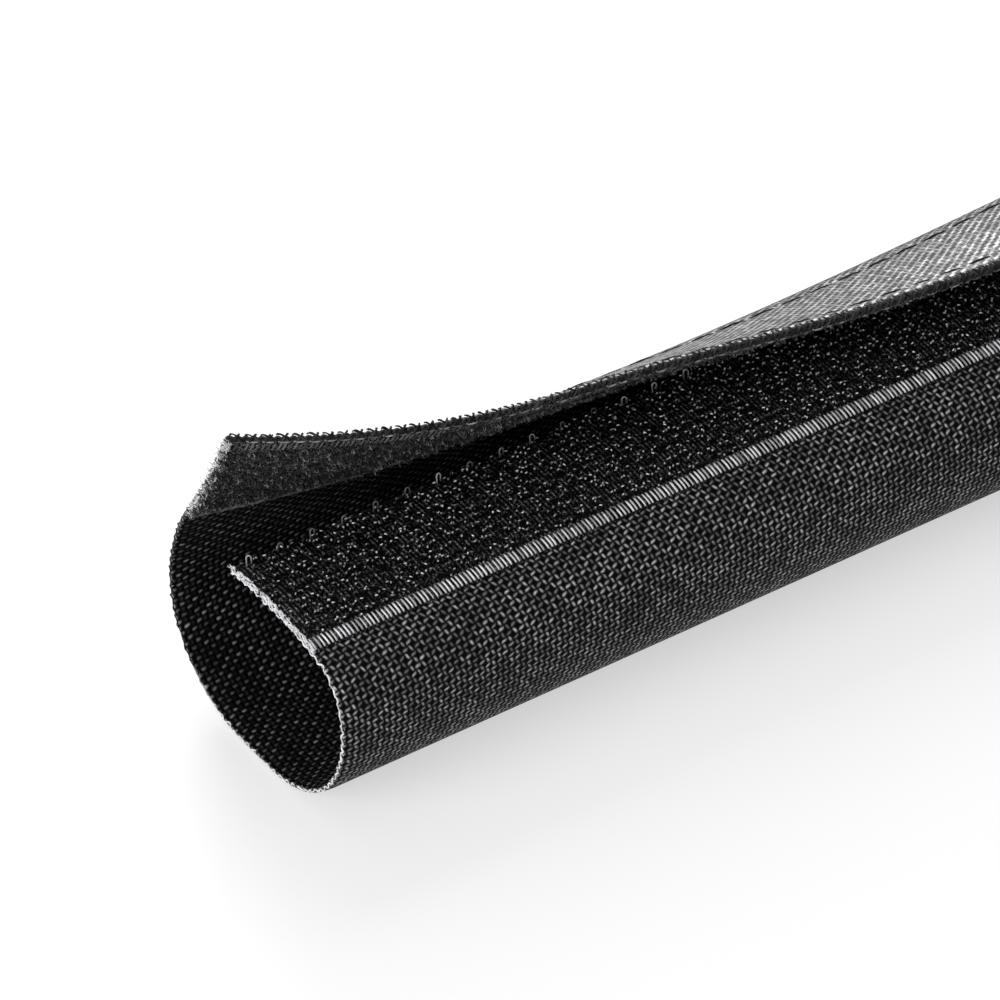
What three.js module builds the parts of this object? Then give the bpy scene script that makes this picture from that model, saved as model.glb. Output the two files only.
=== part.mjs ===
// Self-closing woven cable sleeve with hook and loop tapes.
// Millimetres, +Z up, X along the sleeve with the opened end at -X, resting on a narrow flat spot.
// The sheet is one strip of cloth. At every place along X its section is a chain of arcs of fixed
// length, and only the angles that the arcs turn through change, so the strip is never stretched.
import * as THREE from 'three';

// driving sizes
const LENGTH = 300;            // cut piece
const CLOTH = 0.75;            // thickness of the woven sheet
const TAPE = 16;               // width of both tapes
const BACKING = 0.5;           // thickness of both tape grounds
const MARGIN = 1.5;            // cloth left showing beyond the loop tape
const HOOKS = 1.0;             // hooks above their ground
const PILE = 0.9;              // pile above its ground
const CLEAR = 0.35;            // left between hooks and pile where the flap is shut
const ROW = 1.16;              // rows of hooks, about this far apart
const SELVEDGE = 1.5;          // plain edge of a tape beside its hooks or pile
const RIB = 1.6;               // ribbed selvedge along the hook tape's lower edge
const BEVEL = 0.2;             // its rounded edges
const SEAM_IN = 0.8;           // seams, in from the edge of a tape
const SEAM_STRIP = 1.2;        // plain strip between hooks and rib, with a seam along its middle
const STITCH = 4;              // one machine stitch
const THREAD = 0.42;           // width and height of a stitch

// shut section: two nested arcs over a narrow flat, the flap over the hook tape
const BORE_R = 12.3;           // middle of the cloth, front half
const GAP = CLOTH + 2 * BACKING + HOOKS + PILE + CLEAR;
const FLAP_R = BORE_R + GAP;
const SAG = 0.55;              // the arcs' common centre sinks a little under the sleeve's own weight
const AXIS_Z = BORE_R - SAG;
const FLAT_FRONT = 1.5;        // flat spot in front of the arcs' centre
const FLAT_BACK = 4.5;         // and behind it
const OVERLAP = 0.31;          // rad from the top of the sleeve to the lower edge of the hook tape
const SHOULDER_FRONT = 7.5;    // cloth between hook tape and front wall
const SHOULDER_BACK = 10.7;    // cloth between back wall and flap

// opened section at the cut end: total turn of each stretch of cloth, in rad
const OPEN_FRONT = { wall: 1.74, shoulder: 1.22, tape: 0.33 };
const OPEN_BACK = { wall: 1.74, shoulder: 0.39, tape: -0.14 };
const RELAXED_BACK = { wall: 2.14, shoulder: 0.34, tape: 0.08 };
const FLARE = 27;              // the flap's flare dies away over this length
// distances from the cut end over which the flap comes down: its tape is the last to curl
const FLAP_SHUTS = { wall: [19, 148], shoulder: [38, 95], tape: [75, 164] };
const FRONT_SHUTS = [90, 166]; // the same for the hook tape's side
const PRESSED = 0.12;          // more turn in the hook tape where the flap's fold presses on it,
const PRESS_ON = [56, 80];     // which comes over these distances
const PRESS_OFF = [100, 124];  // and goes over these

// stretches of cloth, each an arc: length, turn when shut
const corner = (r, w) => {
  const rho = (r * r - AXIS_Z * AXIS_Z - w * w) / (2 * (r - AXIS_Z));
  const turn = Math.atan2(w, AXIS_Z - rho);
  return { len: rho * turn, turn };
};
const FLAP = TAPE + MARGIN;
const HALF_FLAT = (FLAT_FRONT + FLAT_BACK) / 2;
const cf = corner(BORE_R, FLAT_FRONT);
const cb = corner(FLAP_R, FLAT_BACK);
const wallF = BORE_R * (Math.PI - OVERLAP - cf.turn) - SHOULDER_FRONT;
const wallB = FLAP_R * (Math.PI + OVERLAP - cb.turn) - TAPE - SHOULDER_BACK;
const FRONT_LEN = [cf.len, wallF, SHOULDER_FRONT, TAPE];
const BACK_LEN = [cb.len, wallB, SHOULDER_BACK, FLAP];
const FRONT_SHUT = [cf.turn, wallF / BORE_R, SHOULDER_FRONT / BORE_R, TAPE / BORE_R];
const BACK_SHUT = [cb.turn, wallB / FLAP_R, SHOULDER_BACK / FLAP_R, FLAP / FLAP_R];
const sum = (a) => a.reduce((p, q) => p + q, 0);
const FRONT = sum(FRONT_LEN);
const BACK = sum(BACK_LEN);
const WIDTH = FRONT + 2 * HALF_FLAT + BACK;   // flat width of the cloth

const ease = (t) => { const c = Math.min(1, Math.max(0, t)); return c * c * (3 - 2 * c); };
const within = (x, [from, to]) => ease((x - from) / (to - from));
const blend = (a, b, t) => a.map((v, i) => v + (b[i] - v) * t[i]);
const spread = (o, len) => {
  const share = len[0] / (len[0] + len[1]);
  return [o.wall * share, o.wall * (1 - share), o.shoulder, o.tape];
};
const even = (t) => Array(4).fill(t);
function frontTurns(x) {
  const press = PRESSED * (within(x, PRESS_ON) - within(x, PRESS_OFF));
  const open = spread({ ...OPEN_FRONT, tape: OPEN_FRONT.tape + press }, FRONT_LEN);
  return blend(open, FRONT_SHUT, even(within(x, FRONT_SHUTS)));
}
function backTurns(x) {
  const flare = even(Math.exp(-x / FLARE));
  const flared = blend(spread(RELAXED_BACK, BACK_LEN), spread(OPEN_BACK, BACK_LEN), flare);
  const { wall, shoulder, tape } = FLAP_SHUTS;
  return blend(flared, BACK_SHUT, [wall, wall, shoulder, tape].map((span) => within(x, span)));
}

// Point of the cloth's middle and its outward normal, s measured along the cloth from the free
// edge of the hook tape. Each branch starts at its own end of the flat spot and runs arc by arc.
function walk(len, turn, dist) {
  let y = HALF_FLAT, z = 0, a = 0, left = dist;
  for (let i = 0; i < len.length && left > 0; i++) {
    const d = i === len.length - 1 ? left : Math.min(left, len[i]);
    const da = turn[i] * d / len[i];
    const chord = Math.abs(da) < 1e-9 ? d : d * Math.sin(da / 2) / (da / 2);
    y += chord * Math.cos(a + da / 2);
    z += chord * Math.sin(a + da / 2);
    a += da;
    left -= d;
  }
  return { y, z, a };
}
function section(x) {
  const f = frontTurns(x);
  const b = backTurns(x);
  return (s, h) => {
    let y, z, ny, nz;
    if (s < FRONT) {
      const p = walk(FRONT_LEN, f, FRONT - s);
      y = -p.y; z = p.z; ny = -Math.sin(p.a); nz = -Math.cos(p.a);
    } else if (s > FRONT + 2 * HALF_FLAT) {
      const p = walk(BACK_LEN, b, s - FRONT - 2 * HALF_FLAT);
      y = p.y; z = p.z; ny = Math.sin(p.a); nz = -Math.cos(p.a);
    } else {
      y = s - FRONT - HALF_FLAT; z = 0; ny = 0; nz = -1;
    }
    return [y + ny * h, z + nz * h];
  };
}

// stations along the sleeve, all on half stitches so that the seams follow the facets
const HALF_STITCH = STITCH / 2;
const STEPS = [0, 2, 4, 6, 8, 11, 14, 18, 23, 29, 36, 44, 50, 56, 62, 68, 75, 83, 105, 128];
const STATIONS = [...STEPS.map((n) => n * HALF_STITCH).filter((x) => x < LENGTH - HALF_STITCH), LENGTH];
const SECTIONS = STATIONS.map(section);

// grid across the cloth: every stretch split evenly, with lines under the flap's two seams
const split = (from, to, n) => Array.from({ length: n }, (_, i) => from + (to - from) * i / n);
const LOOP_0 = WIDTH - FLAP;
const LOOP_1 = WIDTH - MARGIN;
const tapeEnd = TAPE;
const shoulderEnd = tapeEnd + SHOULDER_FRONT;
const flatStart = FRONT;
const flatEnd = FRONT + 2 * HALF_FLAT;
const HOOK_GRID = [...split(0, tapeEnd, 6), tapeEnd];
const LOOP_GRID = [LOOP_0, ...split(LOOP_0 + SEAM_IN, LOOP_1 - SEAM_IN, 5), LOOP_1 - SEAM_IN, LOOP_1];
const GRID = [
  ...split(0, tapeEnd, 6), ...split(tapeEnd, shoulderEnd, 3), ...split(shoulderEnd, flatStart - cf.len, 5),
  ...split(flatStart - cf.len, flatStart, 3), flatStart, ...split(flatEnd, flatEnd + cb.len, 6),
  ...split(flatEnd + cb.len, LOOP_0, 4), ...LOOP_GRID, WIDTH,
];

// The box of the whole sleeve, for setting its middle on the frame's axis.
let low = Infinity, high = -Infinity;
for (const at of SECTIONS) {
  for (const s of GRID) {
    const [y] = at(s, CLOTH / 2);
    low = Math.min(low, y);
    high = Math.max(high, y);
  }
}
const MID_Y = (low + high) / 2;

// Point at any x: straight between the two nearest stations, as the facets are.
function place(x, s, h) {
  let k = 0;
  while (k < STATIONS.length - 2 && x > STATIONS[k + 1]) k++;
  const t = (x - STATIONS[k]) / (STATIONS[k + 1] - STATIONS[k]);
  const [y0, z0] = SECTIONS[k](s, h);
  const [y1, z1] = SECTIONS[k + 1](s, h);
  return [x - LENGTH / 2, y0 + (y1 - y0) * t - MID_Y, z0 + (z1 - z0) * t + CLOTH / 2];
}

// One closed body: a profile of [s, h] points carried through the places xs. Profiles run
// anticlockwise when s is to the right and h up; rise(i, j) may lift a point.
function sweep(profile, xs, rise = () => 0) {
  const n = profile.length;
  const pos = [];
  const index = [];
  xs.forEach((x, i) => profile.forEach(([s, h], j) => pos.push(...place(x, s, h + rise(i, j)))));
  for (let i = 0; i + 1 < xs.length; i++) {
    for (let j = 0; j < n; j++) {
      const k = (j + 1) % n;
      const a = i * n + j, b = i * n + k, c = (i + 1) * n + k, d = (i + 1) * n + j;
      // facets share one diagonal wherever a tape lies on the cloth: from the lesser s and x
      if (profile[k][0] >= profile[j][0]) index.push(a, c, b, a, d, c);
      else index.push(b, a, d, b, d, c);
    }
  }
  // each cut end is filled in its own curled shape; seen from outside, h points against z
  const cap = (x, from, lift) => THREE.ShapeUtils.triangulateShape(
    profile.map(([s, h], j) => {
      const [, y, z] = place(x, s, h + lift(j));
      return new THREE.Vector2(y, -z);
    }), []).map((t) => t.map((j) => from + j));
  const last = xs.length - 1;
  for (const [a, b, c] of cap(xs[0], 0, (j) => rise(0, j))) index.push(a, b, c);
  for (const [a, b, c] of cap(xs[last], last * n, (j) => rise(last, j))) index.push(a, c, b);
  const g = new THREE.BufferGeometry();
  g.setAttribute('position', new THREE.Float32BufferAttribute(pos, 3));
  g.setIndex(index);
  g.computeVertexNormals();
  return g;
}

const group = new THREE.Group();
group.name = 'hook_and_loop_cable_sleeve';
function add(name, geometry, color, roughness) {
  const mesh = new THREE.Mesh(geometry, new THREE.MeshStandardMaterial({ color, roughness }));
  mesh.name = name;
  group.add(mesh);
}

// woven sheet
const inside = GRID.map((s) => [s, -CLOTH / 2]);
const outside = GRID.map((s) => [s, CLOTH / 2]);
add('sleeve_cloth', sweep([...inside, ...outside.reverse()], STATIONS), 0x1b1b1c, 0.85);

// hook tape: outside, along the front edge; selvedge, rows of hooks, seam strip, ribbed selvedge
const FACE = CLOTH / 2;
const GROUND = FACE + BACKING;
const ribFrom = TAPE - RIB;
const fieldEnd = ribFrom - SEAM_STRIP;
const hookSeams = [SEAM_IN, ribFrom - SEAM_STRIP / 2];
const rows = Math.round((fieldEnd - SELVEDGE) / ROW);
const pitch = (fieldEnd - SELVEDGE) / rows;
const hookTop = [[0, GROUND], [hookSeams[0], GROUND]];
for (let r = 0; r < rows; r++) {
  const s = SELVEDGE + r * pitch;
  const between = r ? HOOKS / 4 : 0;
  hookTop.push([s, GROUND + between], [s + 0.3 * pitch, GROUND + HOOKS], [s + 0.7 * pitch, GROUND + HOOKS]);
}
hookTop.push([fieldEnd, GROUND], [hookSeams[1], GROUND], [ribFrom, GROUND], [ribFrom + BEVEL, GROUND + BEVEL],
  [TAPE - BEVEL, GROUND + BEVEL], [TAPE, GROUND]);
add('hook_tape', sweep([...HOOK_GRID.map((s) => [s, FACE]), ...hookTop.reverse()], STATIONS), 0x141414, 0.6);

// loop tape: inside the flap; a bed of pile between two selvedges
const pileSide = [[0, 0], [SELVEDGE, 0], [SELVEDGE + PILE / 4, 0.85 * PILE], [SELVEDGE + PILE, PILE]];
const loopTop = [
  ...pileSide.map(([s, h]) => [LOOP_0 + s, -GROUND - h]), [LOOP_0 + TAPE / 2, -GROUND - PILE],
  ...pileSide.map(([s, h]) => [LOOP_1 - s, -GROUND - h]).reverse(),
];
add('loop_tape', sweep([...loopTop, ...LOOP_GRID.map((s) => [s, -FACE]).reverse()], STATIONS), 0x202021, 0.95);

// four lockstitch seams: a thread that stands up in the middle of each stitch and sinks at its ends
const count = Math.round(LENGTH / HALF_STITCH);
const half = Array.from({ length: count + 1 }, (_, i) => i * LENGTH / count);
const LIFT = 0.03;             // keeps the thread clear of the facets under it
const SUNK = THREAD / 4;       // what shows of it at the needle holes
function seam(name, s, h) {
  const base = h + LIFT;
  const profile = [[s - THREAD / 2, base], [s + THREAD / 2, base], [s, base + SUNK]];
  const rise = (i, j) => (j === 2 && i % 2 ? THREAD - SUNK : 0);
  add(name, sweep(profile, half, rise), 0x2b2b2c, 0.7);
}
seam('hook_seam_free_edge', hookSeams[0], GROUND);
seam('hook_seam_rib_edge', hookSeams[1], GROUND);
seam('loop_seam_fold', LOOP_0 + SEAM_IN, FACE);
seam('loop_seam_free_edge', LOOP_1 - SEAM_IN, FACE);

export default group;
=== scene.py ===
"""Looks of a woven wrap-around cable sleeve, opened at its near end, lying on a white table.

Everything follows one strip of cloth. A place on it is (x, s, h) in millimetres: x along the sleeve
from the opened end, s around it from the hook tape's free edge to the flap's edge, and h outwards
from the middle of the cloth. The function cloth() bends that strip into the sleeve.
"""
import math

import bpy
import numpy as np
from mathutils import Matrix, Vector


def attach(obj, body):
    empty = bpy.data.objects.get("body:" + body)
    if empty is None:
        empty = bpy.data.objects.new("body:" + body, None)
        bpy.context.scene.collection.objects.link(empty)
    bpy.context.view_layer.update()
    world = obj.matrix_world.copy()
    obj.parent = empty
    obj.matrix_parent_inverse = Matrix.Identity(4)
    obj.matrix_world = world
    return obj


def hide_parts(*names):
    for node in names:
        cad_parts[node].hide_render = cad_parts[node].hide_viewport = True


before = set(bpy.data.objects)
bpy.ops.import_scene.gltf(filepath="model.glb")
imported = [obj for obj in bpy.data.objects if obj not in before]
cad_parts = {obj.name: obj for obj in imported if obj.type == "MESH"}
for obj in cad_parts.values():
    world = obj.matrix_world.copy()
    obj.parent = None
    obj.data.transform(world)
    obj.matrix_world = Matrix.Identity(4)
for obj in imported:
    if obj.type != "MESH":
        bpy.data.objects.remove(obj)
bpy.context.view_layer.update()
rng = np.random.default_rng(11)

MM = 0.001

# sizes, in millimetres
LENGTH = 300.0
CLOTH = 0.75                      # thickness
TAPE = 16.0                       # width of both tapes
GROUND = 0.5                      # thickness of a tape's ground
HALF = CLOTH / 2                  # from the middle of the cloth to either face
TOP = HALF + GROUND               # from the middle of the cloth to the face of a tape
MARGIN = 1.5                      # cloth beyond the loop tape
BORE_R = 12.3
GAP = 4.0                         # between the two nested arcs
SAG = 0.55
FLAT_FRONT, FLAT_BACK = 1.5, 4.5
OVERLAP = 0.31
SHOULDER_FRONT, SHOULDER_BACK = 7.5, 10.7
SEAM_IN = 0.8                     # seams, in from the edge of a tape
RIB, SEAM_STRIP = 1.6, 1.2        # ribbed selvedge of the hook tape, and the strip above it
SELVEDGE = 1.5                    # strip without hooks along the hook tape's free edge
RIBBED = 1.15                     # ribbed edges of the loop tape
STITCH = 4.0
SINK = 0.1                        # how far a tape's ground goes into the cloth
MID_Y = -0.9595                   # middle of the solid's box, from the flat spot's middle
PICK, END = 0.75, 0.647           # spacing of the threads that run round the sleeve, and along it
RIB_PITCH = 0.52
EDGE_KNOTS = 1.5                  # from knot to knot along the flap's edge

# turns of the cloth's four stretches, in radians
OPEN_FRONT = (1.74, 1.22, 0.33)   # wall, shoulder, tape
OPEN_BACK = (1.74, 0.39, -0.14)
RELAXED_BACK = (2.14, 0.34, 0.08)
FLARE = 27.0                      # the flap's flare dies away over this length
FLAP_SHUTS = ((19.0, 148.0), (19.0, 148.0), (38.0, 95.0), (75.0, 164.0))
FRONT_SHUTS = (90.0, 166.0)
PRESSED, PRESS_ON, PRESS_OFF = 0.12, (56.0, 80.0), (100.0, 124.0)

FLAP = TAPE + MARGIN
FLAP_R = BORE_R + GAP
AXIS_Z = BORE_R - SAG
HALF_FLAT = (FLAT_FRONT + FLAT_BACK) / 2


def corner(radius, width):
    """Arc from the flat spot up to an arc of the given radius about the axis: its length and turn."""
    rho = (radius**2 - AXIS_Z**2 - width**2) / (2 * (radius - AXIS_Z))
    turn = math.atan2(width, AXIS_Z - rho)
    return rho * turn, turn


corner_front, turn_front = corner(BORE_R, FLAT_FRONT)
corner_back, turn_back = corner(FLAP_R, FLAT_BACK)
wall_front = BORE_R * (math.pi - OVERLAP - turn_front) - SHOULDER_FRONT
wall_back = FLAP_R * (math.pi + OVERLAP - turn_back) - TAPE - SHOULDER_BACK
FRONT_LEN = (corner_front, wall_front, SHOULDER_FRONT, TAPE)
BACK_LEN = (corner_back, wall_back, SHOULDER_BACK, FLAP)
FRONT_SHUT = (turn_front, wall_front / BORE_R, SHOULDER_FRONT / BORE_R, TAPE / BORE_R)
BACK_SHUT = (turn_back, wall_back / FLAP_R, SHOULDER_BACK / FLAP_R, FLAP / FLAP_R)
FRONT, BACK = sum(FRONT_LEN), sum(BACK_LEN)
WIDTH = FRONT + 2 * HALF_FLAT + BACK
LOOP_0, LOOP_1 = WIDTH - FLAP, WIDTH - MARGIN


def within(x, span):
    """0 before the span, 1 after it, and 3t^2 - 2t^3 along it."""
    t = np.clip((x - span[0]) / (span[1] - span[0]), 0, 1)
    return t * t * (3 - 2 * t)


def spread(turns, lengths):
    """Shares the wall's turn between the corner and the wall, by their lengths. One row a stretch."""
    wall, shoulder, tape = turns
    share = lengths[0] / (lengths[0] + lengths[1])
    return [wall * share, wall * (1 - share), shoulder, tape]


def mixed(a, b, t):
    """Each of the four turns goes from a to b as its own t goes from 0 to 1."""
    return [p + (q - p) * w for p, q, w in zip(a, b, t)]


def chain(lengths, turns, distance):
    """Walks out from the end of the flat spot along four arcs in a row. An arc of length l that
    turns through a adds a chord of l sin(a/2) / (a/2) at the heading in its middle."""
    y, z = np.full(distance.shape, HALF_FLAT), np.zeros(distance.shape)
    heading, start = np.zeros(distance.shape), 0.0
    for i, (length, turn) in enumerate(zip(lengths, turns)):
        part = np.clip(distance - start, 0, length if i < 3 else None)
        bend = turn * part / length
        chord = part * np.sinc(bend / 2 / math.pi)
        y = y + chord * np.cos(heading + bend / 2)
        z = z + chord * np.sin(heading + bend / 2)
        heading = heading + bend
        start += length
    return y, z, heading


def cloth(x, s, h=0.0):
    """The strip bent into the sleeve, as points in metres. In front of the flat spot s runs down the
    front branch of arcs, behind it up the back one; h is laid off square to the section."""
    x, s, h = np.broadcast_arrays(*(np.asarray(v, float) for v in (x, s, h)))
    press = PRESSED * (within(x, PRESS_ON) - within(x, PRESS_OFF))
    open_front = spread((*OPEN_FRONT[:2], OPEN_FRONT[2] + press), FRONT_LEN)
    front = mixed(open_front, FRONT_SHUT, [within(x, FRONT_SHUTS)] * 4)
    flared = mixed(spread(RELAXED_BACK, BACK_LEN), spread(OPEN_BACK, BACK_LEN), [np.exp(-x / FLARE)] * 4)
    back = mixed(flared, BACK_SHUT, [within(x, span) for span in FLAP_SHUTS])
    fy, fz, fa = chain(FRONT_LEN, front, FRONT - s)
    by, bz, ba = chain(BACK_LEN, back, s - FRONT - 2 * HALF_FLAT)
    in_front, behind = s < FRONT, s > FRONT + 2 * HALF_FLAT
    flat_y = s - FRONT - HALF_FLAT
    y = np.where(in_front, -fy - h * np.sin(fa), np.where(behind, by + h * np.sin(ba), flat_y))
    z = np.where(in_front, fz - h * np.cos(fa), np.where(behind, bz - h * np.cos(ba), -h))
    return np.stack([x - LENGTH / 2, y - MID_Y, z + CLOTH / 2], axis=-1) * MM


# camera: on the fitted line of sight, with the photograph's narrow view
AZIMUTH, ELEVATION = math.radians(-34.15), math.radians(39.48)
DISTANCE, PER_MM = 747.9, 9.496               # to the cut end's middle, and its scale in the picture
AIM = Vector((0, -1.09, 14.45))               # cut end's middle: x, from the flat spot, height
AIM_AT = (256, 653)                           # where the picture shows it
PICTURE, SENSOR = 1000, 36                    # picture's side in points, sensor's in millimetres

across_floor = math.cos(ELEVATION)
back = Vector((math.sin(AZIMUTH) * across_floor, -math.cos(AZIMUTH) * across_floor, math.sin(ELEVATION)))
right = Vector((math.cos(AZIMUTH), math.sin(AZIMUTH), 0))
up = back.cross(right)
focal = PER_MM * DISTANCE
ray = right * (AIM_AT[0] - PICTURE / 2) / focal + up * (PICTURE / 2 - AIM_AT[1]) / focal - back
aim = Vector((AIM.x - LENGTH / 2, AIM.y - MID_Y, AIM.z + CLOTH / 2))
camera = bpy.data.objects.new("camera", bpy.data.cameras.new("camera"))
camera.location = (aim - ray * DISTANCE) * MM
camera.rotation_euler = (-back).to_track_quat("-Z", "Y").to_euler()
camera.data.sensor_width = SENSOR
camera.data.lens = SENSOR * focal / PICTURE
camera.data.clip_start, camera.data.clip_end = 0.01, 20
bpy.context.collection.objects.link(camera)
bpy.context.scene.camera = camera


# meshes
def solid(name, shape, finish):
    """A closed mesh from (points, faces, map), faces being one array for each kind of face. If the
    volume, the sum of corner triple products over six, is negative, every face is turned round.
    No point dips below the table."""
    points, faces, where = shape
    points[:, 2] = np.maximum(points[:, 2], 0)
    volume = 0.0
    for f in faces:
        for k in range(1, f.shape[1] - 1):
            a, b, c = points[f[:, 0]], points[f[:, k]], points[f[:, k + 1]]
            volume += float(np.einsum("ij,ij->", a - points[0], np.cross(b - points[0], c - points[0])))
    if volume < 0:
        faces = [f[:, ::-1] for f in faces]
    corners = np.concatenate([f.ravel() for f in faces]).astype(np.int32)
    sizes = np.concatenate([np.full(len(f), f.shape[1]) for f in faces])
    mesh = bpy.data.meshes.new(name)
    mesh.vertices.add(len(points))
    mesh.vertices.foreach_set("co", points.astype(np.float32).ravel())
    mesh.loops.add(len(corners))
    mesh.loops.foreach_set("vertex_index", corners)
    mesh.polygons.add(len(sizes))
    mesh.polygons.foreach_set("loop_start", np.concatenate([[0], np.cumsum(sizes)[:-1]]).astype(np.int32))
    mesh.polygons.foreach_set("use_smooth", np.full(len(sizes), True))
    layer = mesh.uv_layers.new(name="UVMap")
    layer.data.foreach_set("uv", where[corners].astype(np.float32).ravel())
    mesh.update(calc_edges=True)
    mesh.validate()
    mesh.materials.append(finish)
    piece = bpy.data.objects.new(name, mesh)
    bpy.context.collection.objects.link(piece)
    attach(piece, "root")
    return piece


def rings(n, m):
    """Quads between n closed rings of m points each."""
    i = np.arange(n - 1)[:, None] * m
    j = np.arange(m)[None, :]
    k = (j + 1) % m
    return np.stack([i + j, i + k, i + m + k, i + m + j], axis=-1).reshape(-1, 4)


def band(x, s, h):
    """A closed strip: rings of points cloth(x, s, h), one for each x. A ring goes out along its lower
    face and back along its upper face with as many points, so its two ends fill with quads between
    facing points. Returns points, faces and the (x, s) of each point."""
    n, m = len(x), np.shape(s)[-1]
    s, h = np.broadcast_to(s, (n, m)), np.broadcast_to(h, (n, m))
    xs = np.broadcast_to(np.asarray(x)[:, None], (n, m))
    points = cloth(xs, s, h).reshape(-1, 3)
    j = np.arange(m // 2 - 1)
    lid = np.stack([j, j + 1, m - 2 - j, m - 1 - j], axis=-1)
    faces = [rings(n, m), lid[:, ::-1], lid + (n - 1) * m]
    return points, faces, np.stack([xs.ravel(), s.ravel()], axis=-1)


ASIDE = (0.31, 0.52, 0.79)        # frames a straight strand, which bends in no plane


def tubes(paths, radius, sides):
    """Closed round strands. paths is (strands, points, 3) in metres, radius in millimetres, a number
    or one for each point. Each ring is p + r (cos t a + sin t b), where a is the normal of the plane
    that the strand bends in, made square to its direction, and b completes the frame. The map holds
    a random tone for each strand, and how far along it a point is, from 0 to 1."""
    n, k, _ = paths.shape
    along = np.gradient(paths, axis=1)
    along /= np.linalg.norm(along, axis=2, keepdims=True) + 1e-12
    bend = np.cross(paths[:, k // 2] - paths[:, 0], paths[:, -1] - paths[:, k // 2])
    chord = np.linalg.norm(paths[:, -1] - paths[:, 0], axis=1, keepdims=True)
    weak = np.linalg.norm(bend, axis=1, keepdims=True) < 1e-3 * chord**2
    a = np.where(weak, np.cross(along[:, 0], ASIDE), bend)[:, None, :]
    a = a - along * np.sum(a * along, axis=2, keepdims=True)
    a /= np.linalg.norm(a, axis=2, keepdims=True) + 1e-12
    b = np.cross(along, a)
    t = np.arange(sides) * 2 * math.pi / sides
    r = np.broadcast_to(radius, (n, k))[:, :, None, None] * MM
    ring = paths[:, :, None] + r * (np.cos(t)[:, None] * a[:, :, None] + np.sin(t)[:, None] * b[:, :, None])
    start = np.arange(n)[:, None, None] * k * sides
    walls = (start + rings(k, sides)[None]).reshape(-1, 4)
    cap = np.arange(sides)
    near = (start[:, 0] + cap[::-1]).reshape(-1, sides)
    far = (start[:, 0] + (k - 1) * sides + cap).reshape(-1, sides)
    tone = np.broadcast_to(rng.random(n)[:, None, None], (n, k, sides))
    run = np.broadcast_to(np.linspace(0, 1, k)[:, None], (n, k, sides))
    return ring.reshape(-1, 3), [walls, near, far], np.stack([tone.ravel(), run.ravel()], axis=-1)


def joined(parts):
    """Puts several (points, faces, map) together as one set."""
    start, points, faces, where = 0, [], [], []
    for p, f, w in parts:
        points.append(p)
        faces += [q + start for q in f]
        where.append(w)
        start += len(p)
    return np.concatenate(points), faces, np.concatenate(where)


def standing(x, s, h, lean, out, rise):
    """Paths of small strands that stand on the cloth: from the root (x, s, h) they go out along the
    heading lean, measured from the sleeve's length towards s, and rise square to the cloth."""
    root = cloth(x, s, h)
    normal = cloth(x, s, h + 1) - root
    across = cloth(x, s + 0.5, h) - cloth(x, s - 0.5, h)
    along = np.zeros_like(root) + [MM, 0, 0]
    heading = np.cos(lean)[:, None] * along + np.sin(lean)[:, None] * across
    return root[:, None] + out[..., None] * heading[:, None] + rise[..., None] * normal[:, None]


# materials
class Value:
    """A number inside a material. Sums and products with it add Math nodes."""

    def __init__(self, finish, socket):
        self.finish, self.socket = finish, socket

    def math(self, operation, other=0.0, first=None):
        """The operation on this and other, or on first and this."""
        left, right = (self, other) if first is None else (first, self)
        return self.finish.node("ShaderNodeMath", {"operation": operation}, {0: left, 1: right})

    def __add__(self, other):
        return self.math("ADD", other)

    def __sub__(self, other):
        return self.math("SUBTRACT", other)

    def __rsub__(self, other):
        return self.math("SUBTRACT", first=other)

    def __mul__(self, other):
        return self.math("MULTIPLY", other)

    def __truediv__(self, other):
        return self.math("DIVIDE", other)

    def __pow__(self, other):
        return self.math("POWER", other)

    __radd__, __rmul__ = __add__, __mul__

    def floor(self):
        return self.math("FLOOR")

    def cos(self):
        return self.math("COSINE")

    def larger(self, other):
        return self.math("MAXIMUM", other)

    def clamped(self):
        return self.finish.node("ShaderNodeClamp", {}, {0: self})


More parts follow.
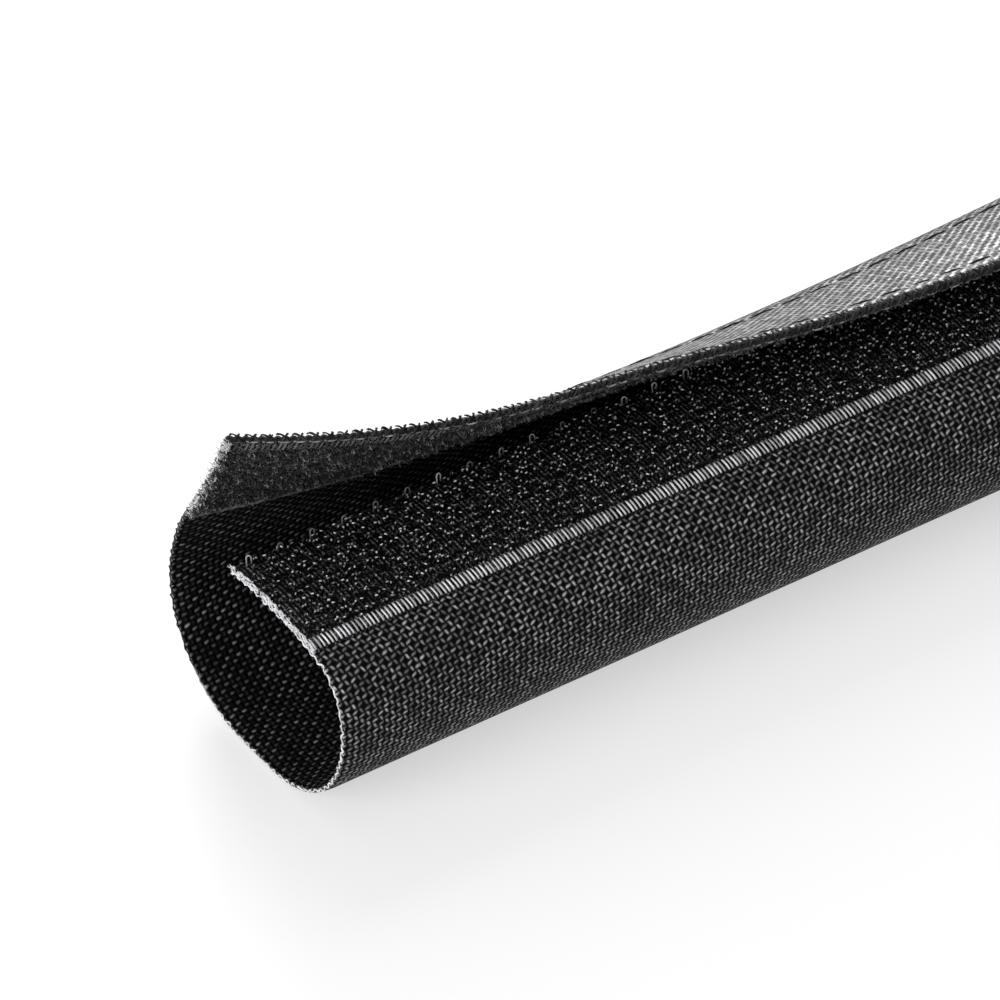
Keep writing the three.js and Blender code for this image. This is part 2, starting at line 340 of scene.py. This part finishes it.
class Finish:
    """One material, on Blender's Principled shader."""

    def __init__(self, name, **constants):
        self.material = bpy.data.materials.new(name)
        self.material.use_nodes = True
        self.tree = self.material.node_tree
        self.shader = self.tree.nodes["Principled BSDF"]
        for socket, value in constants.items():
            self.shader.inputs[socket.replace("_", " ")].default_value = value

    def node(self, kind, settings, sockets, output=0):
        """Any node: its type, its settings, and the value or link of each socket."""
        made = self.tree.nodes.new(kind)
        for key, value in settings.items():
            setattr(made, key, value)
        for key, value in sockets.items():
            if isinstance(value, Value):
                self.tree.links.new(value.socket, made.inputs[key])
            else:
                made.inputs[key].default_value = value
        return Value(self, made.outputs[output])

    def coordinates(self):
        """The place in the piece, in metres."""
        return self.node("ShaderNodeTexCoord", {}, {}, "Object")

    def map(self):
        """The piece's own map, as two numbers: (x, s) in millimetres on a band of cloth, and each
        strand's tone and the way along it on tubes."""
        uv = self.node("ShaderNodeUVMap", {}, {})
        return tuple(self.node("ShaderNodeSeparateXYZ", {}, {0: uv}, part) for part in ("X", "Y"))

    def noise(self, size, detail=2.0):
        """Soft noise, 0 to 1, with lumps about size millimetres across."""
        sockets = {"Vector": self.coordinates(), "Scale": 1 / (size * MM), "Detail": detail}
        return self.node("ShaderNodeTexNoise", {}, sockets)

    def blend(self, amount, low, high):
        """From colour low to colour high as amount goes from 0 to 1."""
        return self.node("ShaderNodeMix", {"data_type": "RGBA"}, {0: amount, 6: (*low, 1), 7: (*high, 1)}, 2)

    def feed(self, **sockets):
        """Links values to the shader's sockets of those names."""
        for socket, value in sockets.items():
            self.tree.links.new(value.socket, self.shader.inputs[socket.replace("_", " ")])

    def bump(self, height, depth):
        """height in any unit, depth millimetres for each unit of it."""
        sockets = {"Distance": depth * MM, "Height": height}
        self.feed(Normal=self.node("ShaderNodeBump", {}, sockets, "Normal"))


def plain_weave(u, v, lean_u, lean_v):
    """A plain weave at u, v in thread spacings. Each cell shows one thread: one that runs along u
    where the cell's sign is +1, one along v where it is -1. A thread waves as the cosine of pi times
    the place along it, and its back is round, 1 - 4f^2 for f across it. The backs lean by lean_u and
    lean_v, as the twist of the yarn makes them do. Returns the height of the higher thread, for each
    direction its wave and its back, the number of the cell, and how near a point is to one of the
    diagonals that join the threads along u."""
    iu, iv = u.floor(), v.floor()
    fu, fv = u - iu - 0.5, v - iv - 0.5
    sign = (iu * math.pi).cos() * (iv * math.pi).cos()
    wave_u, wave_v = sign * (fu * math.pi).cos(), sign * (fv * math.pi).cos() * -1
    over_u = wave_u * 0.45 + (1 - fv * fv * 4) * 0.55
    height = over_u.larger(wave_v * 0.45 + (1 - fu * fu * 4) * 0.55)
    up, across = fv - fu * lean_u, fu - fv * lean_v
    back_u, back_v = (1 - up * up * 4).clamped(), (1 - across * across * 4).clamped()
    waves = wave_u.clamped(), wave_v.clamped()
    diagonal = 0.5 - ((u + v) * math.pi).cos() * 0.5
    return height, waves, (back_u, back_v), (iu, iv), diagonal


PAINTED_GAP_SHADE = 0.002                      # tone of the painted shade in the gaps between threads


def black(level):
    """A near-neutral grey, a touch cold, from 0 to 1."""
    return (level, level, level * 1.03)


def woven_black(name, along, around, lean, sharp, light, uneven):
    """Plain-woven polyester yarn, with painted shade nearly black between the threads and a painted
    highlight along their backs. Each float has a tone of its own. The threads along the sleeve are
    smooth filament, so only their backs shine. along and around set how much the two kinds show the
    painted highlight and shine, sharp is how narrow the painted highlight's streaks are, light is their
    brightest tone, and uneven how much the cloth varies from place to place. Where the loop tape backs
    it the cloth is pressed flat: it shines all over but for the pits at the threads that run around."""
    finish = Finish(name, Roughness=0.6, Specular_IOR_Level=0.03, Coat_Roughness=0.34, Coat_IOR=1.55)
    x, s = finish.map()
    # the threads stray from their places, by up to about half a spacing
    wobble = finish.noise(5.0) * 0.5 + finish.noise(1.1, 1.0) * 0.35
    askew = finish.noise(1.3, 1.0) * 0.4 + wobble * 0.5
    height, waves, backs, cell, diagonal = plain_weave(x / PICK + wobble, s / END + askew, *lean)
    (wave_x, wave_s), (back_x, back_s) = waves, backs
    # tone: a painted highlight along each float's back over painted shade in the gaps, varied by each
    # float's own tone, cloudy patches over the cloth, and single fibres in the yarn
    number = finish.node("ShaderNodeCombineXYZ", {}, {0: cell[0], 1: cell[1]})
    own = finish.node("ShaderNodeTexWhiteNoise", {"noise_dimensions": "2D"}, {"Vector": number}, "Value")
    broad = (finish.noise(7.0, 2.0) * 3 - 0.9).clamped() * uneven + (1 - uneven)
    fibre = finish.noise(0.12, 2.0)
    grain = fibre * 1.6 + 0.2
    lit = (wave_x * back_x**sharp * along).larger(wave_s * back_s**sharp * around)
    tone = (lit * (own * own * 0.8 + 0.2) * broad * grain).clamped()
    finish.feed(Base_Color=finish.blend(tone, black(PAINTED_GAP_SHADE), black(light)), Roughness=0.7 - tone * 0.3)
    # shine: the smooth threads' backs, and the whole face where the tape behind presses it flat
    shine = (wave_x * back_x**2.5 * along).larger(wave_s * back_s**3 * around * 0.15)
    pressed = (1 - (wave_s * back_s) ** 0.5) * (diagonal * 0.7 + 0.3) * along * 0.92
    backed = ((s - LOOP_0 + 3) / 3).clamped()
    shine = shine + (pressed - shine) * backed
    finish.feed(Coat_Weight=(shine * (own * 0.7 + 0.55) * (fibre * 1.2 + 0.4)).clamped())
    finish.bump(height + fibre * 0.1, 0.22)
    return finish.material


def tape_ground():
    """Tightly woven tape: fine cords across it, with a painted highlight along their crests over painted
    shade between them, here and there hidden by fluff.
    """
    finish = Finish("tape_ground", Roughness=0.6, Specular_IOR_Level=0.06)
    x, s = finish.map()
    cord = (x * (2 * math.pi / RIB_PITCH)).cos() * 0.5 + 0.5
    beat = (s * (2 * math.pi / 0.6) + finish.noise(0.8) * 14).cos() * 0.5 + 0.5
    fibre = finish.noise(0.12, 2.0)
    shown = (finish.noise(1.0, 2.0) * 4 - 1.7).clamped()
    speck = (finish.noise(0.22, 1.0) * 5 - 3.0).clamped() * 0.5
    # painted highlight on the cords' crests, with random specks, over painted shade
    tone = (cord**4 * (beat * 0.9 + 0.1) * shown * (fibre * 1.6 + 0.2)).larger(speck)
    finish.feed(Base_Color=finish.blend(tone.clamped(), black(PAINTED_GAP_SHADE), black(0.42)))
    finish.feed(Roughness=0.7 - fibre * 0.3)
    finish.bump(cord * 0.7 + beat * 0.3 + fibre * 0.15, 0.1)
    return finish.material


def pile_ground():
    """The matted bed under the loops: specks of lit fibre over black."""
    finish = Finish("matted_pile_bed", Roughness=0.8, Specular_IOR_Level=0.05)
    speck = (finish.noise(0.17, 2.0) * 4.4 - 2.2).clamped() * (finish.noise(1.5, 1.0) + 0.4)
    finish.feed(Base_Color=finish.blend(speck.clamped(), black(0.003), black(0.3)))
    finish.feed(Roughness=0.9 - speck * 0.3)
    finish.bump(finish.noise(0.3, 3.0), 0.25)
    return finish.material


def strands(name, dark, light, power, rough, painted_highlight=None, gloss=0.5):
    """Separate fibres, each with its own tone: mostly dark, a few light, as power sets. The place along
    the strand and the width given after rough mark a painted highlight, brightest there and fading to
    either side."""
    finish = Finish(name, Roughness=rough, Specular_IOR_Level=gloss)
    tone, run = finish.map()
    shade = tone**power
    if painted_highlight:
        off = (run - painted_highlight[0]) / painted_highlight[1]
        shade = shade * (1 - off * off).clamped()
    grain = finish.noise(0.09, 2.0)
    level = (shade * (grain * 0.8 + 0.6)).clamped()
    finish.feed(Base_Color=finish.blend(level, black(dark), black(light)))
    finish.feed(Roughness=rough - 0.1 + grain * 0.2)
    finish.bump(grain, 0.015)
    return finish.material


def pale_fray():
    """Heat-cut ends: whitened, rough fibre."""
    finish = Finish("pale_frayed_fibre", Roughness=0.6, Sheen_Weight=0.2)
    tone, _ = finish.map()
    patch = (finish.noise(0.35, 3.0) * 3.4 - 0.8).clamped() * (tone * 0.3 + 0.7)
    finish.feed(Base_Color=finish.blend(patch.clamped(), black(0.12), black(0.96)))
    finish.bump(finish.noise(0.09, 3.0), 0.03)
    return finish.material


def cut_bead():
    """The melted bead along the cut of the cloth: near-white over the front wall, the flat spot and the
    flap, and dark up the back wall, from 0.6 to 0.84 of the way along the cut."""
    finish = Finish("melted_cloth_edge", Roughness=0.5, Specular_IOR_Level=0.3)
    _, run = finish.map()
    white = (1 - (run - 0.56) * 16).clamped().larger((run - 0.84) * 30)
    patch = (finish.noise(0.6, 2.0) * 3 - 0.8).clamped()
    finish.feed(Base_Color=finish.blend((white * (patch * 0.6 + 0.5)).clamped(), black(0.01), black(0.96)))
    finish.bump(finish.noise(0.1, 2.0), 0.03)
    return finish.material


# The inside is a shaded copy of the outside: painted darker, with the painted highlight kept only on the
# threads along the sleeve.
OUTER_FINISH = woven_black("woven_black_outside", 1.0, 1.0, (-0.4, 0.33), 8.0, 0.76, 0.25)
INNER_FINISH = woven_black("woven_black_inside", 1.0, 0.1, (0.2, 0.0), 4.5, 0.46, 0.6)
GROUND_FINISH = tape_ground()
PILE_BED_FINISH = pile_ground()
# The bright tops of the ribs, loop tape edges, hooks, stubs, pile loops, braid and curls below are painted
# highlights, where the lamps would glint on dark yarn.
RIB_FINISH = strands("ribbed_selvedge_yarn", 0.2, 1.0, 0.6, 0.35, (0.5, 0.8))
LOOP_RIB_FINISH = strands("loop_selvedge_yarn", 0.02, 0.16, 0.8, 0.4, (0.5, 0.65), gloss=0.2)
HOOK_FINISH = strands("hook_monofilament", 0.004, 1.0, 1.1, 0.3, (0.6, 0.12), gloss=0.2)
STUB_FINISH = strands("cut_hook_stub", 0.004, 0.9, 1.2, 0.3, (1.0, 0.35), gloss=0.2)
PILE_FINISH = strands("loop_pile_fibre", 0.006, 0.36, 3.0, 0.5, (0.5, 0.6), gloss=0.25)
THREAD_FINISH = strands("sewing_thread", 0.002, 0.02, 1.0, 0.9, gloss=0.02)
EDGE_FINISH = strands("edge_loop_yarn", 0.004, 0.06, 1.6, 0.6, gloss=0.05)
BRAID_FINISH = strands("braid_yarn_painted_highlight", 0.03, 0.42, 1.0, 0.4, (0.5, 0.6), gloss=0.3)
CURL_FINISH = strands("edge_curl_painted_highlight", 0.06, 0.6, 0.9, 0.35, (0.5, 0.7), gloss=0.25)
FRAY_FINISH = pale_fray()
BEAD_FINISH = cut_bead()

# the woven sheet: rings round its section, with rounded edges, thinned where it was cut hot
ACROSS = 109                      # points across each face
close = np.arange(0, 2, 0.25)
ring_x = np.unique(np.concatenate([close, np.arange(2, LENGTH - 2, 2.0), LENGTH - close]))
across = np.linspace(0, WIDTH, ACROSS)
margin = np.minimum(np.minimum(across, WIDTH - across) / HALF, 1)
round_edge = HALF * np.maximum(np.sqrt(1 - (1 - margin) ** 2), 0.25)
ring_s = np.concatenate([across, across[::-1]])
ring_h = np.concatenate([-round_edge, round_edge[::-1]])
outer_side = (np.arange(2 * ACROSS) >= ACROSS).astype(float)


VALLEY = 0.14                     # depth of the cloth's dip along a seam


def pucker(x, s, line):
    """Cloth drawn in along a seam: a soft valley, a bell curve across the line, deepest at the
    needle holes."""
    return VALLEY * np.exp(-(((s - line) / 0.5) ** 2)) * (0.7 + 0.3 * np.cos(2 * math.pi * x / STITCH))


hot = within(np.minimum(ring_x, LENGTH - ring_x), (0, 1.2))[:, None]
sheet_h = ring_h * (0.55 + 0.45 * hot)
for seam_s in (LOOP_0 + SEAM_IN, LOOP_1 - SEAM_IN):
    sheet_h = sheet_h - outer_side * pucker(ring_x[:, None], ring_s, seam_s)
sheet = solid("woven_sheet", band(ring_x, ring_s, sheet_h), OUTER_FINISH)
sheet.data.materials.append(INNER_FINISH)
inner_face = np.zeros(len(sheet.data.polygons), np.int32)
inner_face[: (len(ring_x) - 1) * 2 * ACROSS] = np.tile(outer_side < 0.5, len(ring_x) - 1)
sheet.data.polygons.foreach_set("material_index", inner_face)
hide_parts("sleeve_cloth")
WIDTH * MM


# tape grounds: flat bands lying on the cloth, one outside and one inside
def tape(name, s_0, width, side, finish, slot, replaced, thinned=0.35):
    """Band of GROUND thickness on the cloth, side +1 outside and -1 inside, with rounded edges. The
    far edge thins away over a width of its own."""
    s = np.linspace(0, width, 25)
    top = GROUND * np.clip(np.minimum(s / 0.35, (width - s) / thinned) + 0.3, 0, 1)
    ring_s = np.concatenate([s, s[::-1]]) + s_0
    ring_h = side * (HALF + np.concatenate([np.full(len(s), -SINK), top[::-1]]))
    piece = solid(name, band(np.arange(0, LENGTH + 1, 2.0), ring_s, ring_h), finish)
    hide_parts(replaced)


tape("hook_tape_ground", 0, TAPE, 1, GROUND_FINISH, "hook_tape", "hook_tape")
loop_width = WIDTH - 0.1 - LOOP_0
tape("loop_tape_ground", LOOP_0, loop_width, -1, PILE_BED_FINISH, "loop_tape", "loop_tape", 1.2)


RIB_RISE, RIB_R = 0.15, 0.12      # how high the ribbing thread arches, and its radius


def overcast(name, s_0, s_1, side, finish, slant=0.0, drop=0.0):
    """Ribbed selvedge: one thread every RIB_PITCH, arching across the band as the fourth root of a
    sine and sinking into the tape at both edges, set over by slant and lower by drop at the far one."""
    x = np.arange(0.25, LENGTH - 0.2, RIB_PITCH)[:, None]
    n = len(x)
    t = np.linspace(0, 1, 6)
    lean = slant * (t - 0.5) + rng.normal(0, 0.025, (n, 1)) + rng.normal(0, 0.025, (n, 1)) * t
    arch = (RIB_RISE + rng.normal(0, 0.012, (n, 1))) * np.sin(math.pi * np.clip(t, 0.001, 0.999)) ** 0.25
    paths = cloth(x + lean, s_0 + (s_1 - s_0) * t, side * (TOP - 0.09 + arch - drop * t))
    solid(name, tubes(paths, RIB_R + rng.normal(0, 0.008, (n, 1)), 5), finish)


overcast("hook_tape_ribbed_edge", TAPE - RIB, TAPE - 0.05, 1, RIB_FINISH)
overcast("loop_tape_free_edge", WIDTH - RIBBED - 0.1, WIDTH, -1, LOOP_RIB_FINISH, 0.42, 0.5)
overcast("loop_tape_fold_edge", LOOP_0, LOOP_0 + RIBBED, -1, LOOP_RIB_FINISH, slant=0.42)

# hooks: J-shaped monofilament, with the cut stub of each loop beside it. A hook is a straight stalk
# over the first part of its path, and then a crook: an arc of 1.25 half turns
HOOK_STEP = 1.25                  # from hook to hook in a row
CROOK_R, STALK, STALK_PART = 0.25, 0.72, 0.35
hook_rows = np.append(np.linspace(SELVEDGE + 0.2, TAPE - 2.8, 11), TAPE - RIB - 0.25)
hook_s, hook_x = np.meshgrid(hook_rows, np.arange(0.5, LENGTH - 0.9, HOOK_STEP))
stagger = np.arange(len(hook_rows)) % 2 * 0.62
hook_x = (hook_x + stagger + rng.normal(0, 0.1, hook_x.shape)).ravel()
hook_s = (hook_s + rng.normal(0, 0.08, hook_s.shape)).ravel()
count = len(hook_x)
turned = np.where(rng.random(count) < 0.5, 0, math.pi) + rng.normal(0, 0.5, count)
t = np.linspace(0, 1, 7)
bend = math.pi * (1 - 1.25 * np.clip((t - STALK_PART) / (1 - STALK_PART), 0, 1))
hook_out = CROOK_R * (1 + np.cos(bend))
hook_rise = np.where(t < STALK_PART, STALK * t / STALK_PART, STALK + CROOK_R * np.sin(bend)) - 0.08
hook_rise = rng.normal(1.0, 0.08, (count, 1)) * hook_rise
hooks = tubes(standing(hook_x, hook_s, TOP, turned, np.tile(hook_out, (count, 1)), hook_rise), 0.09, 4)
solid("hook_field", hooks, HOOK_FINISH)
stub_out = np.array([0.84, 0.8, 0.74]) + rng.normal(0, 0.06, (count, 1))
stub_rise = np.array([-0.05, 0.3, 0.6]) * rng.normal(1, 0.15, (count, 1))
stubs = tubes(standing(hook_x, hook_s, TOP, turned, stub_out, stub_rise), 0.11, 4)
solid("hook_stubs", stubs, STUB_FINISH)

# loop pile: small arches thrown every way over a matted bed, in two layers
def pile_layer(name, number, widest, tallest, thick, between=(-0.3, LENGTH + 0.3)):
    """Half-round arches: out is minus the cosine and rise the root of the sine, thrown every way."""
    x = rng.uniform(*between, number)
    s = rng.uniform(LOOP_0 + 1.0, WIDTH - RIBBED - 0.2, number)
    a = np.linspace(0, math.pi, 5)
    out = rng.uniform(0.4, 1, (number, 1)) * widest * -np.cos(a) + rng.normal(0, 0.06, (number, 5))
    rise = rng.uniform(0.35, 1, (number, 1)) * tallest * np.sqrt(np.sin(a)) - 0.05
    strands_made = standing(x, s, -TOP, rng.uniform(0, 2 * math.pi, number), out, -rise)
    solid(name, tubes(strands_made, thick, 3), PILE_FINISH)


pile_layer("loop_pile_low", 6300, 0.26, 0.4, 0.055)
pile_layer("loop_pile_high", 5800, 0.24, 0.75, 0.05)
pile_layer("loop_pile_cut_end", 110, 0.25, 0.8, 0.06, (-0.6, 0.3))

# seams: one thread for each stitch, over the face and under it
THREAD_R, STITCH_RISE, HOLE_DEPTH = 0.19, 0.24, 0.2
holes = np.arange(0, LENGTH - STITCH + 1e-6, STITCH) + 0.2


def stitches(name, line, face, replaced=None, side=1):
    """Each stitch rises out of one needle hole, lies along the cloth and dips into the next: its
    height is the fourth root of a sine, a little unlike its neighbours'."""
    n = len(holes)
    t = np.linspace(0, 1, 9)
    out = holes[:, None] + 0.25 + (STITCH - 0.5) * t
    over = rng.normal(0, 0.06, (n, 1)) + 0.14 * (t - 0.5)
    height = STITCH_RISE + rng.normal(0, 0.02, (n, 1))
    rise = height * np.sin(math.pi * np.clip(t, 0.001, 0.999)) ** 0.25 - HOLE_DEPTH
    thick = THREAD_R * (0.6 + 0.4 * np.sin(math.pi * t))
    piece = solid(name, tubes(cloth(out, line + over, face + side * rise), thick, 5), THREAD_FINISH)
    if replaced:
        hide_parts(replaced)


seam_rib = TAPE - RIB - SEAM_STRIP / 2
stitches("hook_stitches_rib_edge", seam_rib, TOP, "hook_seam_rib_edge")
stitches("hook_stitches_free_edge", SEAM_IN, TOP, "hook_seam_free_edge")
stitches("loop_stitches_fold", LOOP_0 + SEAM_IN, HALF - VALLEY, "loop_seam_fold")
stitches("loop_stitches_free_edge", LOOP_1 - SEAM_IN, HALF - VALLEY, "loop_seam_free_edge")
stitches("hook_stitches_under_rib_edge", seam_rib, -HALF, side=-1)
stitches("hook_stitches_under_free_edge", SEAM_IN, -HALF, side=-1)

# thread curls that stand along the hook tape's free edge, one at each stitch, with a painted highlight
# over their tops
n = len(holes)
a = np.linspace(-0.2 * math.pi, 1.15 * math.pi, 10)
curl_out = 0.27 * (1 - np.cos(a)) + rng.normal(0, 0.03, (n, 1))
curl_rise = (0.85 + 0.4 * np.sin(a) - 0.75 * (a < 0)) * rng.normal(1, 0.07, (n, 1))
curl_rise[:, 0] = -0.1
curl_rise[:, -1] = 0.25
curl_lean = rng.normal(0.25, 0.35, n)
curls = standing(holes + 1.0, np.full(n, 1.25), TOP - 0.05, curl_lean, curl_out, curl_rise)
solid("hook_edge_curls", tubes(curls, 0.085, 5), CURL_FINISH)

# flap edge: four small threads at each knot turn back round the edge of the cloth over two twisted
# core threads, and a dashed thread holds them down, a painted highlight on the middle of each dash
KNOT_R, CORE_R, BRAID_R = 0.1, 0.15, 0.1
turns = np.arange(0.9, LENGTH - 0.7, EDGE_KNOTS)[:, None]
n = len(turns)
a = np.linspace(0, math.pi, 8)
parts = []
outer_side_h, inner_side_h = HALF + 0.08, -HALF - 0.2
for reach, half_wide, way in ((0.62, 0.5, 1), (0.55, 0.42, -1), (0.45, 0.6, 1), (0.5, 0.3, -1)):
    loop_x = turns - half_wide * np.cos(a) * way + rng.normal(0, 0.05, (n, 1))
    loop_s = WIDTH - 0.1 + (reach + rng.normal(0, 0.05, (n, 1))) * np.sin(a) ** 0.8
    loop_h = (HALF + inner_side_h) / 2 - (outer_side_h - inner_side_h) / 2 * np.cos(a)
    loop_h = loop_h + rng.normal(0, 0.04, (n, 1))
    parts.append(tubes(cloth(loop_x, loop_s, loop_h), KNOT_R, 4))
core_x = np.arange(0, LENGTH + 0.1, 0.25)
for turn in (0, math.pi):
    around = core_x * 2 * math.pi / EDGE_KNOTS + turn
    core = cloth(core_x, WIDTH + 0.1 + 0.1 * np.cos(around), -0.15 + 0.22 * np.sin(around))
    parts.append(tubes(core[None], CORE_R, 6))
solid("flap_edge_loops", joined(parts), EDGE_FINISH)
t = np.linspace(0, 1, 6)
braid_x = turns - EDGE_KNOTS / 2 + 1.3 * t
braid_s = WIDTH + 0.12 + 0.1 * (t - 0.5) + rng.normal(0, 0.03, (n, 1))
braid_h = -HALF - 0.1 - 0.16 * np.sqrt(np.sin(math.pi * np.clip(t, 0.001, 0.999))) + np.zeros((n, 1))
braid = tubes(cloth(braid_x, braid_s, braid_h), BRAID_R, 5)
solid("flap_edge_braid", braid, BRAID_FINISH)


# frayed, heat-cut ends
def wander(count, smooth):
    """Random steps, smoothed over a few neighbours."""
    return np.convolve(rng.normal(0, 1, count + 2 * smooth), np.ones(smooth) / smooth, "same")[smooth:-smooth]


# beads along the cut: from s, to s, height, how far they wave up and down, and thickness
CLOTH_BEAD = (0, WIDTH, 0.0, 0.17, 0.09)
TAPE_BEADS = (
    (0, TAPE, HALF - 0.1, 0.2, 0.08),
    (0, TAPE, HALF + 0.1, 0.22, 0.08),
    (0, TAPE, HALF + 0.3, 0.2, 0.08),
    (0, TAPE, HALF + 0.45, 0.1, 0.08),
    (LOOP_0, LOOP_1, -HALF - 0.15, 0.25, 0.07),
    (LOOP_0, LOOP_1, -HALF - 0.4, 0.25, 0.07),
)
# fibres that stand out of the cut: from s, to s, height, its spread, longest and thickness
TUFTS = (
    (0, WIDTH, 0, 0.2, 0.35, 0.04),
    (0, TAPE, HALF + 0.2, 0.25, 0.55, 0.055),
    (LOOP_0, WIDTH, -HALF - 0.2, 0.34, 0.85, 0.06),
)
TUFT_FIBRES = 420


def bead(x_end, outward, s_0, s_1, level, wave, thick):
    """A strand that waves over and under the threads along the cut, as a sine of their spacing."""
    s = np.arange(s_0, s_1, 0.15)
    k = len(s)
    h = level + wave * np.sin(math.pi * s / END + rng.uniform(0, 6) + wander(k, 8)) + 0.12 * wander(k, 4)
    x = x_end + outward * (0.04 + 0.1 * wander(k, 4))
    r = thick * (1 + 0.35 * wander(k, 3))
    return tubes(cloth(x, s, h)[None], np.clip(r, 0.05, 0.16)[None], 6)


def tuft(x_end, outward, s_0, s_1, level, spread_h, longest, thick):
    """Fibres that leave the cut outwards and sway aside with the way along them to the power 1.3."""
    one_each = (TUFT_FIBRES, 1)
    s = rng.uniform(s_0, s_1, one_each)
    h = level + rng.normal(0, spread_h * 0.6, one_each)
    length = rng.uniform(0.15, 1, one_each) ** 1.6 * longest
    t = np.linspace(0, 1, 5)
    x = x_end - outward * 0.15 + outward * length * t * rng.uniform(0.5, 1, one_each)
    sway_s = rng.normal(0, 0.7, one_each) * length * t**1.3 + 0.06 * np.sin(9 * t + 20 * s)
    sway_h = rng.normal(0, 0.6, one_each) * length * t**1.3
    return tubes(cloth(x, s + sway_s, h + sway_h), thick * (1.1 - 0.4 * t), 3)


def frayed(end, x_end, outward):
    """One cut end: the whitened bead of the cloth, more beads tangled along each tape, and fibres."""
    solid(f"{end}_edge", bead(x_end, outward, *CLOTH_BEAD), BEAD_FINISH)
    parts = [bead(x_end, outward, *row) for row in TAPE_BEADS]
    parts += [tuft(x_end, outward, *row) for row in TUFTS]
    solid(f"{end}_fray", joined(parts), FRAY_FINISH)


frayed("near_cut", 0.0, -1)
frayed("far_cut", LENGTH, 1)

# table, light and surroundings. Rays that show the background see it white; the others, which light
# the sleeve, meet a mid-grey table and a dimmer room
BACKGROUND_RAYS = ("Is Camera Ray", "Is Glossy Ray", "Is Transmission Ray")
TABLE_HALF = 3.0                  # metres
TABLE_TONE, TABLE_GLOW = 0.5, 0.56
ROOM_LIGHT = 0.4                  # of the white that the camera sees behind the table
floor_corners = [(TABLE_HALF * a, TABLE_HALF * b, 0) for a, b in ((-1, -1), (1, -1), (1, 1), (-1, 1))]
floor_mesh = bpy.data.meshes.new("table")
floor_mesh.from_pydata(floor_corners, [], [(0, 1, 2, 3)])
floor = bpy.data.objects.new("table", floor_mesh)
bpy.context.collection.objects.link(floor)
white = Finish("white_table", Roughness=0.9, Specular_IOR_Level=0.1)
white.shader.inputs["Base Color"].default_value = (TABLE_TONE, TABLE_TONE, TABLE_TONE, 1)
seen, glossy, through = (white.node("ShaderNodeLightPath", {}, {}, kind) for kind in BACKGROUND_RAYS)
shown = seen.larger(glossy).larger(through)
glow = white.node("ShaderNodeEmission", {}, {"Strength": shown * TABLE_GLOW})
both = white.node("ShaderNodeAddShader", {}, {0: Value(white, white.shader.outputs[0]), 1: glow})
white.tree.links.new(both.socket, white.tree.nodes["Material Output"].inputs["Surface"])
floor.data.materials.append(white.material)


def lamp(name, azimuth, elevation, strength, spread):
    """A wide soft light at a long way off, given by where it stands: azimuth from +Y towards +X."""
    data = bpy.data.lights.new(name, "SUN")
    data.energy, data.angle = strength, math.radians(spread)
    made = bpy.data.objects.new(name, data)
    a, e = math.radians(azimuth), math.radians(elevation)
    toward = Vector((math.sin(a) * math.cos(e), math.cos(a) * math.cos(e), math.sin(e)))
    made.rotation_euler = toward.to_track_quat("Z", "Y").to_euler()
    bpy.context.collection.objects.link(made)


lamp("back_softbox", 25, 48, 0.95, 30)
lamp("low_back_softbox", 28, 15, 2.5, 30)
lamp("left_softbox", -100, 25, 2.05, 40)

world = bpy.data.worlds.new("white_room")
bpy.context.scene.world = world
world.use_nodes = True
tree = world.node_tree
path = tree.nodes.new("ShaderNodeLightPath")
seen = path.outputs[BACKGROUND_RAYS[0]]
for kind in BACKGROUND_RAYS[1:]:
    either = tree.nodes.new("ShaderNodeMath")
    either.operation = "MAXIMUM"
    tree.links.new(seen, either.inputs[0])
    tree.links.new(path.outputs[kind], either.inputs[1])
    seen = either.outputs[0]
level = tree.nodes.new("ShaderNodeMapRange")
level.inputs["To Min"].default_value, level.inputs["To Max"].default_value = ROOM_LIGHT, 1.0
tree.links.new(seen, level.inputs["Value"])
tree.links.new(level.outputs["Result"], tree.nodes["Background"].inputs["Strength"])
tree.nodes["Background"].inputs["Color"].default_value = (1, 1, 1, 1)
bpy.context.scene.view_settings.view_transform = "Standard"
